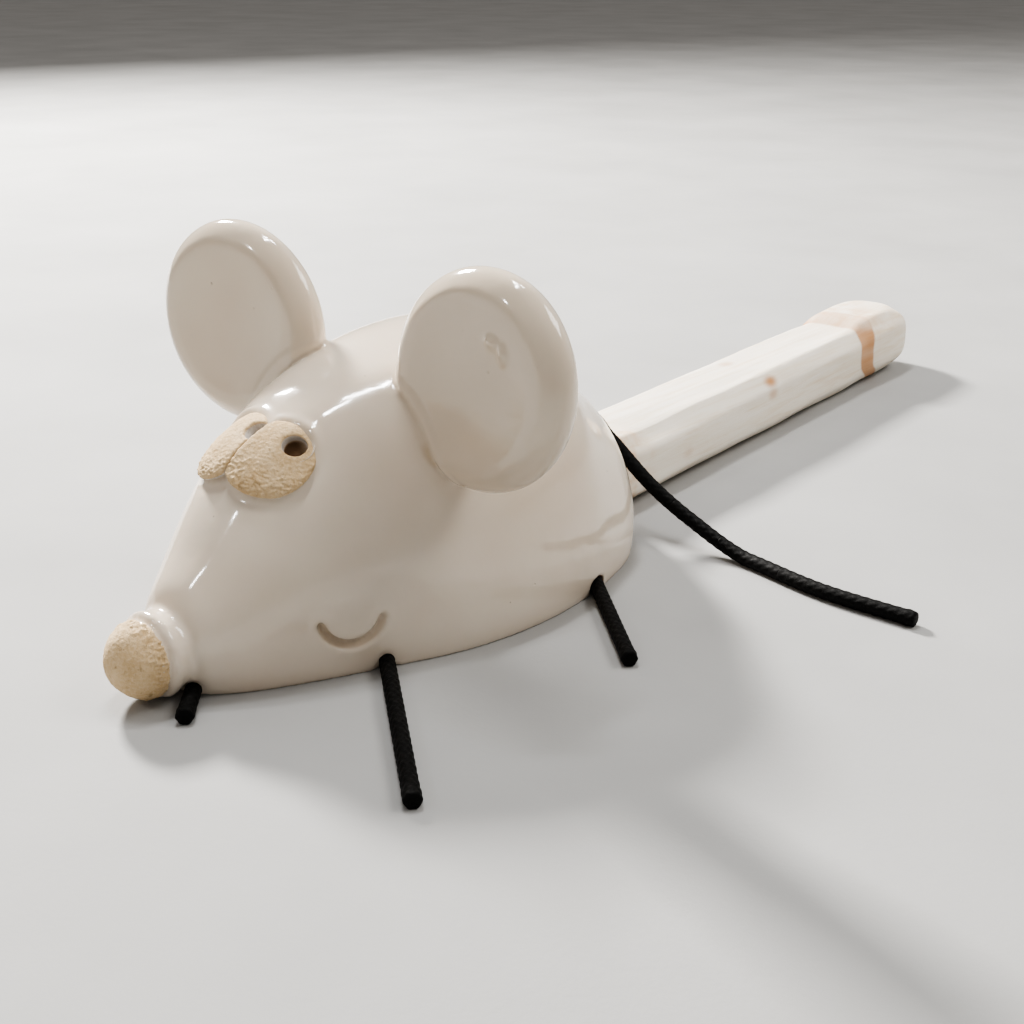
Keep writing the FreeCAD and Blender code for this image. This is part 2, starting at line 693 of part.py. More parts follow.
# ---------------------------------------------------------------- cords
def make_cord(name, start, end, length_cell, is_tip):
    """One straight length of cord: a ball at its pivot, cut short before the next one."""
    body = doc.addObject("PartDesign::Body", name)
    sketch = sketch_on(body, name + "_profile", "XY_Plane")
    radius = size("cord_radius")
    gap = 0.0 if is_tip else size("cord_gap")
    length = (end - start).Length - gap
    arc = Part.ArcOfCircle(Part.Circle(vector(0, 0, 0), vector(0, 0, 1), radius), math.pi / 2, math.pi)
    sketch.addGeometry(arc, False)
    corners = [vector(0, radius, 0), vector(length, radius, 0), vector(length, 0, 0), vector(-radius, 0, 0)]
    for index in range(3):
        sketch.addGeometry(Part.LineSegment(corners[index], corners[index + 1]), False)
    link(sketch, (0, 1), (1, 1))
    link(sketch, (1, 2), (2, 1))
    link(sketch, (2, 2), (3, 1))
    link(sketch, (3, 2), (0, 2))
    link(sketch, (0, 3), (-1, 1))
    sketch.addConstraint(Sketcher.Constraint("Horizontal", 1))
    sketch.addConstraint(Sketcher.Constraint("Vertical", 2))
    sketch.addConstraint(Sketcher.Constraint("PointOnObject", 0, 1, -2))
    sketch.addConstraint(Sketcher.Constraint("PointOnObject", 0, 2, -1))
    sketch.addConstraint(Sketcher.Constraint("PointOnObject", 2, 2, -1))
    dimension(sketch, "Radius", (0,), radius, cell("cord_radius"))
    expression = length_cell if is_tip else "%s - %s" % (length_cell, cell("cord_gap"))
    dimension(sketch, "DistanceX", (-1, 1, 2, 2), length, expression)
    turn = body.newObject("PartDesign::Revolution", name + "_turn")
    turn.Profile = sketch
    turn.ReferenceAxis = (sketch, ["H_Axis"])
    turn.Angle = 360.0
    if is_tip:
        doc.recompute()
        rounding = body.newObject("PartDesign::Fillet", name + "_end")
        ends = ["Edge%d" % (i + 1) for i, e in enumerate(turn.Shape.Edges)
                if e.BoundBox.XMin > length - TOUCHING and e.BoundBox.YLength > radius]
        rounding.Base = (turn, ends)
        rounding.setExpression("Radius", cell("cord_end_round"))
    place(body, start, FreeCAD.Rotation(vector(1, 0, 0), end - start))
    return body


def make_leg_anchor(name, pivot, along):
    """Cord in the channel, up through the slab, and the stopper knot above it."""
    label = "leg_%s_anchor" % name
    rim, tip = leg_points(name)
    height = vector(0, 0, size("cord_height"))
    hole = rim - along * size("leg_%s_inner" % name) + height
    reach = (pivot - hole).Length - size("cord_gap")
    knot_height = size("slab_thickness") + size("knot_lift")
    flat = primitive("Cylinder", label + "_flat", hole, FreeCAD.Rotation(vector(0, 0, 1), along),
                     Radius=cell("cord_radius"))
    flat.Height = reach
    rise = primitive("Cylinder", label + "_rise", hole, None, Radius=cell("cord_radius"))
    rise.Height = knot_height - size("cord_height")
    bend = primitive("Sphere", label + "_bend", hole, None, Radius=cell("cord_radius"))
    knot = primitive("Sphere", label + "_knot", vector(hole.x, hole.y, knot_height), None,
                     Radius=cell("knot_radius"))
    return fuse(label, [flat, bend, rise, knot])


def make_leg(name):
    rim, tip = leg_points(name)
    along = (tip - rim).normalize()
    height = vector(0, 0, size("cord_height"))
    pivot = rim + along * size("leg_%s_standoff" % name) + height
    tip = tip + height
    nodes = [make_leg_anchor(name, pivot, along)]
    total = "sqrt((%s - %s)^2 + (%s - %s)^2) - %s" % tuple(
        cell("leg_%s_%s" % (name, column)) for column in ("tip_x", "rim_x", "tip_y", "rim_y", "standoff"))
    if name == "front_right":
        nodes.append(make_cord("leg_%s_lower" % name, pivot, tip, total, True))
        return nodes
    bend = "leg_%s_bend" % name.split("_")[0]
    knee = pivot + along * size(bend)
    nodes.append(make_cord("leg_%s_upper" % name, pivot, knee, cell(bend), False))
    nodes.append(make_cord("leg_%s_lower" % name, knee, tip, "%s - %s" % (total, cell(bend)), True))
    return nodes


def make_tail():
    nodes = []
    pivots = [vector(*(size("tail_pivot%d_%s" % (i, axis)) for axis in "xyz")) for i in range(len(TAIL))]
    for index, name in enumerate(TAIL_NAMES):
        steps = ["(%s - %s)^2" % (cell("tail_pivot%d_%s" % (index + 1, axis)),
                                  cell("tail_pivot%d_%s" % (index, axis))) for axis in "xyz"]
        length_cell = "sqrt(%s)" % " + ".join(steps)
        is_tip = index == len(TAIL_NAMES) - 1
        nodes.append(make_cord(name, pivots[index], pivots[index + 1], length_cell, is_tip))
    direction = tail_direction()
    inner = pivots[0] - direction * size("tail_inner")
    cord = primitive("Cylinder", "tail_anchor_cord", inner, FreeCAD.Rotation(vector(0, 0, 1), direction),
                     Radius=cell("cord_radius"), Height=cell("tail_inner") + " - " + cell("cord_gap"))
    knot = primitive("Sphere", "tail_anchor_knot", inner, None, Radius=cell("knot_radius"))
    nodes.append(fuse("tail_anchor", [cord, knot]))
    return nodes


# ---------------------------------------------------------------- assembly and export
def build():
    outside, hollow = make_body_tools()
    slab, zone, channels = make_base_slab(outside)
    nodes = [make_body_shell(outside, hollow, zone, channels), slab]
    nodes.extend(make_ear(outside))
    nodes.append(make_eye("left", 1))
    nodes.append(make_eye("right", -1))
    nodes.append(make_nose())
    nodes.append(make_socket(hollow))
    nodes.append(make_stake())
    for name in LEGS:
        nodes.extend(make_leg(name))
    nodes.extend(make_tail())
    return nodes


def check_and_export(nodes):
    doc.recompute()
    for item in doc.Objects:
        if "Invalid" in item.State or "Error" in item.State:
            raise RuntimeError("%s failed: %s" % (item.Name, item.State))
    for node in nodes:
        shape = node.Shape
        if shape.isNull() or not shape.isValid():
            raise RuntimeError("%s has no valid shape" % node.Name)
        if len(shape.Solids) != 1 or shape.Volume <= 0:
            raise RuntimeError("%s is not one sound solid" % node.Name)
        node.Label = node.Name
    os.makedirs("parts", exist_ok=True)
    for node in nodes:
        node.Shape.exportStep("parts/%s.step" % node.Label)
        print("%-26s %9.1f mm3" % (node.Label, node.Shape.Volume))


fill_sheet()
check_and_export(build())
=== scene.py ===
"""Looks of the stoneware mouse: glazed skin, bare clay eyes and nose, braided cords and a whittled stake.

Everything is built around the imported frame. Lengths are in metres; MM turns millimetres into metres.
"""
import json
import math

import bmesh
import bpy
import numpy as np
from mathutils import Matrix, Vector, noise
from mathutils.bvhtree import BVHTree


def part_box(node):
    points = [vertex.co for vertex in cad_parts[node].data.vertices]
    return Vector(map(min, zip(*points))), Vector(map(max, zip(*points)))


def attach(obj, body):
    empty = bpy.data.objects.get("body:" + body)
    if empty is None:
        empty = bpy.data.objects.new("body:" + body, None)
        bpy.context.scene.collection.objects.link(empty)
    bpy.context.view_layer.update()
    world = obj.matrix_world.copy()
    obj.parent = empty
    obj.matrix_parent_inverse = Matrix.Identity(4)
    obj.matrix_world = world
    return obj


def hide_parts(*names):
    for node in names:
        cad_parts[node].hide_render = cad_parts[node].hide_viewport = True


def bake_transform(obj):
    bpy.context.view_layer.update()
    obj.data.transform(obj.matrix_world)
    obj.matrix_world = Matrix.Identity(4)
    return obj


MM = 0.001

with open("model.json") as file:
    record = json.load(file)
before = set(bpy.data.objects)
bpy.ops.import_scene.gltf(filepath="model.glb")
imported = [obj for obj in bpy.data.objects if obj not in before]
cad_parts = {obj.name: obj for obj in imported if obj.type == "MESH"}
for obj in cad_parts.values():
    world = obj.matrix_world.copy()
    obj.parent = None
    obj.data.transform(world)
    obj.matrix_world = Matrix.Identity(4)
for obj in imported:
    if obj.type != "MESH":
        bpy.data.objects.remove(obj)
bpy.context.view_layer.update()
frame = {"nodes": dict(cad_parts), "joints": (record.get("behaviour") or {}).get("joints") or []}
nodes = frame["nodes"]
joints = {joint["name"]: joint for joint in frame["joints"]}


# ---------------------------------------------------------------- mesh helpers
def points_of(mesh):
    flat = np.empty(len(mesh.vertices) * 3, np.float32)
    mesh.vertices.foreach_get("co", flat)
    return flat.reshape(-1, 3).astype(float)


def set_points(mesh, points):
    mesh.vertices.foreach_set("co", points.astype(np.float32).ravel())
    mesh.update()


def normals_of(mesh):
    flat = np.empty(len(mesh.vertices) * 3, np.float32)
    mesh.vertex_normals.foreach_get("vector", flat)
    return flat.reshape(-1, 3).astype(float)


def edges_of(mesh):
    flat = np.empty(len(mesh.edges) * 2, np.int32)
    mesh.edges.foreach_get("vertices", flat)
    return flat.reshape(-1, 2)


def new_piece(name, mesh):
    piece = bpy.data.objects.new(name, mesh)
    bpy.context.scene.collection.objects.link(piece)
    return piece


def shade_smooth(mesh):
    mesh.polygons.foreach_set("use_smooth", np.ones(len(mesh.polygons), bool))
    mesh.update()


def joined(meshes):
    """One mesh that holds copies of these."""
    vertices, faces = [], []
    for mesh in meshes:
        start = len(vertices)
        vertices.extend(v.co.copy() for v in mesh.vertices)
        faces.extend([start + i for i in p.vertices] for p in mesh.polygons)
    mesh = bpy.data.meshes.new("joined")
    mesh.from_pydata(vertices, [], faces)
    return mesh


def remeshed(name, meshes, voxel):
    """A new piece: the union of these meshes as an even grid of small faces."""
    piece = new_piece(name, joined(meshes))
    grid = piece.modifiers.new("grid", "REMESH")
    grid.mode = "VOXEL"
    grid.voxel_size = voxel
    grid.adaptivity = 0.0
    graph = bpy.context.evaluated_depsgraph_get()
    mesh = bpy.data.meshes.new_from_object(piece.evaluated_get(graph))
    piece.modifiers.clear()
    piece.data = mesh
    mesh.name = name
    return piece


def relaxed(points, edges, weight, rounds, strength=0.5):
    """Points drawn towards the mean of their neighbours, by weight, so many rounds."""
    first, second = edges.T
    size = len(points)
    count = np.bincount(first, minlength=size) + np.bincount(second, minlength=size)
    pull = (weight * strength / np.maximum(count, 1))[:, None]
    active = weight > 0
    keep = active[first] | active[second]
    first, second = first[keep], second[keep]
    points = points.copy()
    for _ in range(rounds):
        total = np.stack([np.bincount(first, points[second, k], size)
                          + np.bincount(second, points[first, k], size) for k in range(3)], 1)
        points += pull * (total - count[:, None] * points)
    return points


def tree_of(mesh):
    return BVHTree.FromPolygons([v.co for v in mesh.vertices], [list(p.vertices) for p in mesh.polygons])


def distances(points, mesh, reach):
    """Distance of each point to a mesh's surface, or reach where it is farther than that."""
    corners = points_of(mesh)
    near = np.all((points > corners.min(0) - reach) & (points < corners.max(0) + reach), 1)
    tree = tree_of(mesh)
    result = np.full(len(points), reach)
    for index in np.flatnonzero(near):
        found = tree.find_nearest(points[index], reach)
        if found[0] is not None:
            result[index] = found[3]
    return result


def snapped(points, mesh, weight, reach):
    """Points drawn onto a mesh's surface by weight, where it is within reach."""
    tree = tree_of(mesh)
    points = points.copy()
    for index in np.flatnonzero(weight > 0):
        found = tree.find_nearest(points[index], reach)
        if found[0] is not None:
            points[index] += weight[index] * (np.array(found[0]) - points[index])
    return points


def hull_of(mesh):
    """Convex hull of a mesh."""
    shape = bmesh.new()
    for vertex in mesh.vertices:
        shape.verts.new(vertex.co)
    result = bmesh.ops.convex_hull(shape, input=shape.verts)
    bmesh.ops.delete(shape, geom=result["geom_interior"], context="VERTS")
    hull = bpy.data.meshes.new("hull")
    shape.to_mesh(hull)
    shape.free()
    return hull


def depth_below(points, hull, outward):
    """How deep each point lies below a hull, looking along the outward direction."""
    tree = tree_of(hull)
    outward = Vector(outward)
    result = np.zeros(len(points))
    for index, point in enumerate(points):
        found = tree.ray_cast(Vector(point) + outward * 0.02 * MM, outward)
        if found[0] is not None:
            result[index] = found[3]
    return result


def thin_axis(points):
    """The direction in which these points spread least, turned upwards."""
    axis = np.linalg.svd(points - points.mean(0), full_matrices=False)[2][2]
    return axis if axis[2] > 0 else -axis


def rod(start, end, radius, around=24):
    """Closed round rod from start to end."""
    side = (end - start).orthogonal().normalized()
    up = (end - start).cross(side).normalized()
    turns = [2 * math.pi * k / around for k in range(around)]
    ring = [radius * (side * math.cos(turn) + up * math.sin(turn)) for turn in turns]
    faces = [(k, (k + 1) % around, around + (k + 1) % around, around + k) for k in range(around)]
    faces += [tuple(reversed(range(around))), tuple(range(around, 2 * around))]
    mesh = bpy.data.meshes.new("rod")
    mesh.from_pydata([start + r for r in ring] + [end + r for r in ring], [], faces)
    return mesh


def bell(value, centre, width):
    return np.exp(-((value - centre) / width) ** 2)


def ramp(value, start, end):
    """0 before start, 1 after end, smooth in between; start may be above end."""
    part = np.clip((value - start) / (end - start), 0, 1)
    return part * part * (3 - 2 * part)


def wobble(points, scale, offset=0.0):
    """Smooth noise of about -1 to 1 at each point; scale is the size of its lumps."""
    return np.array([noise.noise(Vector(p / scale) + Vector((offset, 0, 0))) for p in points])


# ---------------------------------------------------------------- material helpers
class Graph:
    """A material's node tree, with short calls for its nodes."""

    def __init__(self, name):
        self.material = bpy.data.materials.new(name)
        self.material.use_nodes = True
        self.tree = self.material.node_tree
        self.tree.nodes.clear()
        output = self.tree.nodes.new("ShaderNodeOutputMaterial")
        self.shader = self.tree.nodes.new("ShaderNodeBsdfPrincipled")
        self.tree.links.new(self.shader.outputs[0], output.inputs["Surface"])
        texture = self.tree.nodes.new("ShaderNodeTexCoord")
        self.place = self.math_vector("MULTIPLY", texture.outputs["Object"], (1 / MM,) * 3)

    def put(self, socket, value):
        if isinstance(value, bpy.types.NodeSocket):
            self.tree.links.new(value, socket)
        else:
            socket.default_value = value

    def math_vector(self, operation, first, second):
        node = self.tree.nodes.new("ShaderNodeVectorMath")
        node.operation = operation
        self.put(node.inputs[0], first)
        self.put(node.inputs[1], second)
        return node.outputs[0]

    def math(self, operation, first, second=0.0, third=0.0):
        node = self.tree.nodes.new("ShaderNodeMath")
        node.operation = operation
        for index, value in enumerate((first, second, third)):
            self.put(node.inputs[index], value)
        return node.outputs[0]

    def noise(self, lump, detail=3.0, roughness=0.5, place=None, distortion=0.0):
        """Noise of about 0 to 1 with lumps of this size in millimetres."""
        node = self.tree.nodes.new("ShaderNodeTexNoise")
        self.put(node.inputs["Vector"], place or self.place)
        node.inputs["Scale"].default_value = 1 / lump
        node.inputs["Detail"].default_value = detail
        node.inputs["Roughness"].default_value = roughness
        node.inputs["Distortion"].default_value = distortion
        return node.outputs["Fac"]

    def cells(self, spacing):
        """Voronoi cells: the distance to a cell's point, and its random colour."""
        node = self.tree.nodes.new("ShaderNodeTexVoronoi")
        self.put(node.inputs["Vector"], self.place)
        node.inputs["Scale"].default_value = 1 / spacing
        return node.outputs["Distance"], node.outputs["Color"]

    def ramp(self, value, stops):
        """Colour ramp; stops are (place, colour) where colour may be one grey number."""
        node = self.tree.nodes.new("ShaderNodeValToRGB")
        self.put(node.inputs[0], value)
        elements = node.color_ramp.elements
        while len(elements) < len(stops):
            elements.new(1.0)
        for element, (spot, colour) in zip(elements, stops):
            element.position = spot
            element.color = (*colour, 1) if isinstance(colour, tuple) else (colour, colour, colour, 1)
        return node.outputs["Color"]

    def mix(self, share, first, second):
        node = self.tree.nodes.new("ShaderNodeMix")
        node.data_type = "RGBA"
        self.put(node.inputs[0], share)
        for socket, value in ((node.inputs[6], first), (node.inputs[7], second)):
            self.put(socket, (*value, 1) if isinstance(value, tuple) else value)
        return node.outputs[2]

    def attribute(self, name):
        node = self.tree.nodes.new("ShaderNodeAttribute")
        node.attribute_name = name
        return node.outputs["Fac"]

    def squeezed(self, factors):
        """The place in millimetres, with each axis multiplied by its factor."""
        return self.math_vector("MULTIPLY", self.place, factors)

    def bump(self, height, depth, before=None):
        """Bump whose height of 1 stands for this depth in millimetres."""
        node = self.tree.nodes.new("ShaderNodeBump")
        node.inputs["Strength"].default_value = 1.0
        node.inputs["Distance"].default_value = depth * MM
        self.put(node.inputs["Height"], height)
        if before is not None:
            self.put(node.inputs["Normal"], before)
        return node.outputs[0]

    def finish(self, **inputs):
        for name, value in inputs.items():
            value = (*value, 1) if isinstance(value, tuple) and len(value) == 3 and "Color" in name else value
            self.put(self.shader.inputs[name.replace("_", " ")], value)
        return self.material


def dress(piece, material, body="root"):
    """Gives a finished piece its material and the body it rides on."""
    piece.data.materials.clear()
    piece.data.materials.append(material)
    shade_smooth(piece.data)
    if body:
        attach(piece, body)
    return piece


def store(mesh, name, values):
    attribute = mesh.attributes.new(name, "FLOAT", "POINT")
    attribute.data.foreach_set("value", values.astype(np.float32))


# ---------------------------------------------------------------- materials
def glaze_material():
    """Warm white glaze: cloudy colour, iron specks, pinholes, tiny blisters on the ears, a glassy top. A
    brown tint marks thin glaze where it meets the eyes and darker seams at the ears, and is painted shade in
    the smile and on the ear faces.
    """
    g = Graph("glaze")
    clouds = g.noise(28, 2.0)
    colour = g.ramp(clouds, ((0.3, (0.70, 0.59, 0.475)), (0.7, (0.79, 0.70, 0.585))))
    # brown tint: thin glaze at the eyes' edges, darker along the ear seams, painted shade in the smile and on
    # the ear faces
    thin_glaze_and_painted_shade = g.attribute("thin_glaze_and_painted_shade")
    colour = g.mix(thin_glaze_and_painted_shade, colour, (0.56, 0.44, 0.30))
    fine = g.noise(1.3, 4.0, 0.6)
    colour = g.mix(g.math("MULTIPLY", fine, 0.06), colour, (0.45, 0.38, 0.30))
    distance, cell_colour = g.cells(5.5)
    picked = g.math("GREATER_THAN", cell_colour, 0.62)
    speck = g.math("MULTIPLY", g.ramp(distance, ((0.02, 1.0), (0.045, 0.0))), picked)
    colour = g.mix(g.math("MULTIPLY", speck, 0.55), colour, (0.24, 0.17, 0.11))
    pin_distance, pin_colour = g.cells(9.0)
    pinned = g.math("GREATER_THAN", pin_colour, 0.66)
    pinhole = g.math("MULTIPLY", g.ramp(pin_distance, ((0.0, 1.0), (0.035, 0.0))), pinned)
    blister_distance, blister_colour = g.cells(3.4)
    blister = g.math("MULTIPLY", g.ramp(blister_distance, ((0.0, 1.0), (0.13, 0.0))),
                     g.math("GREATER_THAN", blister_colour, 0.66))
    blister = g.math("MULTIPLY", blister, g.attribute("blistered"))
    soft = g.noise(7.0, 2.0)
    bump = g.bump(soft, 0.10)
    bump = g.bump(blister, 0.9, bump)
    bump = g.bump(g.math("MULTIPLY", pinhole, -1.0), 0.25, bump)
    rough = g.ramp(g.noise(14, 3.0), ((0.35, 0.07), (0.7, 0.15)))
    return g.finish(Base_Color=colour, Roughness=rough, IOR=1.52, Normal=bump,
                    Subsurface_Weight=0.12, Subsurface_Radius=(1.0, 0.7, 0.5), Subsurface_Scale=1.2 * MM,
                    Coat_Weight=0.35, Coat_Roughness=0.06, Coat_IOR=1.5)


def clay_material(name):
    """Sandy unglazed stoneware with grain, small pits and darker crumbs, a grey glaze on the walls of a hole
    and painted shade, near black-brown, at its bottom.
    """
    g = Graph(name)
    broad = g.noise(5.0, 3.0, 0.6)
    colour = g.ramp(broad, ((0.3, (0.58, 0.40, 0.21)), (0.7, (0.71, 0.535, 0.325))))
    grain = g.noise(0.55, 5.0, 0.7)
    colour = g.mix(g.ramp(grain, ((0.46, 0.0), (0.62, 0.55))), colour, (0.78, 0.62, 0.41))
    dark = g.noise(0.9, 4.0, 0.65, distortion=0.4)
    colour = g.mix(g.ramp(dark, ((0.60, 0.0), (0.72, 0.6))), colour, (0.36, 0.22, 0.11))
    glazed = g.attribute("glazed")
    # painted shade: the bottom of a hole is tinted near black-brown
    hole_bottom_painted_shade = g.attribute("hole_bottom_painted_shade")
    colour = g.mix(glazed, colour, (0.60, 0.56, 0.52))
    colour = g.mix(hole_bottom_painted_shade, colour, (0.13, 0.075, 0.04))
    bump = g.bump(grain, 0.22)
    bump = g.bump(g.ramp(dark, ((0.58, 1.0), (0.72, 0.0))), 0.12, bump)
    rough = g.ramp(glazed, ((0.0, 0.92), (1.0, 0.25)))
    return g.finish(Base_Color=colour, Roughness=rough, Normal=bump, Specular_IOR_Level=0.3)


def cord_material():
    """Black cord: near-black fibres, dull, with a little dust."""
    g = Graph("black_cord")
    fibre = g.noise(0.25, 3.0, 0.6)
    colour = g.ramp(fibre, ((0.35, 0.0015), (0.8, 0.006)))
    dust = g.noise(1.6, 3.0, 0.7)
    colour = g.mix(g.ramp(dust, ((0.68, 0.0), (0.80, 0.4))), colour, (0.05, 0.047, 0.045))
    bump = g.bump(fibre, 0.07)
    rough = g.ramp(dust, ((0.3, 0.55), (0.7, 0.75)))
    return g.finish(Base_Color=colour, Roughness=rough, Normal=bump, Specular_IOR_Level=0.10)


def wood_material():
    """Pale whittled wood: fine grain along Y, amber stains, small knots and a brown band."""
    g = Graph("pale_wood")
    along = g.squeezed((1.0, 0.045, 1.0))
    grain = g.noise(1.5, 5.0, 0.65, along, 0.5)
    colour = g.ramp(grain, ((0.30, (0.80, 0.69, 0.54)), (0.5, (0.87, 0.80, 0.69)),
                            (0.72, (0.90, 0.85, 0.76))))
    streak = g.noise(4.5, 3.0, 0.6, g.squeezed((1.0, 0.03, 1.0)), 0.3)
    colour = g.mix(g.ramp(streak, ((0.60, 0.0), (0.74, 0.35))), colour, (0.66, 0.42, 0.20))
    knot = g.attribute("knot")
    colour = g.mix(knot, colour, (0.50, 0.21, 0.05))
    stain = g.math("MULTIPLY", g.attribute("stain"), g.ramp(g.noise(5.0, 3.0), ((0.35, 0.1), (0.65, 0.9))))
    colour = g.mix(stain, colour, (0.64, 0.37, 0.16))
    band = g.math("MULTIPLY", g.attribute("band"), g.ramp(streak, ((0.3, 0.75), (0.6, 0.97))))
    colour = g.mix(band, colour, (0.50, 0.235, 0.085))
    bump = g.bump(grain, 0.09)
    fine = g.noise(0.35, 4.0, 0.7, g.squeezed((1.0, 0.06, 1.0)))
    bump = g.bump(fine, 0.05, bump)
    rough = g.ramp(grain, ((0.3, 0.62), (0.7, 0.78)))
    return g.finish(Base_Color=colour, Roughness=rough, Normal=bump, Specular_IOR_Level=0.35,
                    Subsurface_Weight=0.05, Subsurface_Radius=(1.0, 0.7, 0.4), Subsurface_Scale=0.6 * MM)


# ---------------------------------------------------------------- glazed skin
SKIN_VOXEL = 0.45 * MM
EARS = ("ear_left", "ear_right")
GLAZED = ("body_shell", "base_slab") + EARS
EYES = ("eye_left", "eye_right")
LEGS = ("front_left", "front_right", "rear_left", "rear_right")
CORD = 1.6 * MM
KNOT = 3.5 * MM


def meshes_of(names):
    return [nodes[name].data for name in names]


def mouth_of(pivot, along, outside):
    """Where a cord leaves the body: the outside beside it, found from its first pivot."""
    beside = along.cross(Vector((0, 0, 1))).normalized() * 1.5 * CORD
    depths = [outside.ray_cast(pivot + side * beside, -along)[3] for side in (-1, 1)]
    return pivot - along * sum(depths) / 2


def mouths():
    """Place and direction of each cord where it leaves the body."""
    outside = tree_of(joined(meshes_of(("body_shell", "base_slab"))))
    found = []
    for leg in LEGS:
        name = "leg_" + leg
        first = name + "_swing" if name + "_swing" in joints else name + "_droop"
        along = leg_direction(name + "_droop")
        found.append((mouth_of(pivot_of(first), along, outside), along))
    along = (pivot_of("tail_swing") - tail_knot()).normalized()
    found.append((mouth_of(pivot_of("tail_swing"), along, outside), along))
    return found


def glaze_run(points, place):
    """Height, 0 to 1, of a small run of thick glaze on a face that looks along -Y: two joined blobs."""
    upper = (points - np.array(place) - np.array((-1.6, 0, 0.6)) * MM) / (1.5 * MM, 1.0, 0.9 * MM)
    lower = (points - np.array(place) - np.array((1.2, 0, -0.9)) * MM) / (1.0 * MM, 1.0, 1.3 * MM)
    return np.maximum(*[np.exp(-away[:, 0] ** 2 - away[:, 2] ** 2) for away in (upper, lower)])


def smile_arc(points):
    """Distance of each point to the middle of the smile on its side, and its part along it, 0 to 1."""
    low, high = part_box("body_shell")
    width_share, behind_snout, height = 0.637, 29.8 * MM, 12.9 * MM
    centre = np.array((width_share * high.x, low.y + behind_snout, height))
    radius, turn, half = 6.2 * MM, math.radians(26.5), math.radians(75)
    mirrored = np.abs(points[:, 0])
    back = (mirrored - centre[0]) * math.sin(turn) + (points[:, 1] - centre[1]) * math.cos(turn)
    out = (mirrored - centre[0]) * math.cos(turn) - (points[:, 1] - centre[1]) * math.sin(turn)
    up = points[:, 2] - centre[2]
    angle = np.clip(np.arctan2(back, -up), -half, half)
    apart = np.hypot(back - radius * np.sin(angle), up + radius * np.cos(angle))
    return np.where(np.abs(out) < 5 * MM, apart, 5 * MM), (angle + half) / (2 * half)


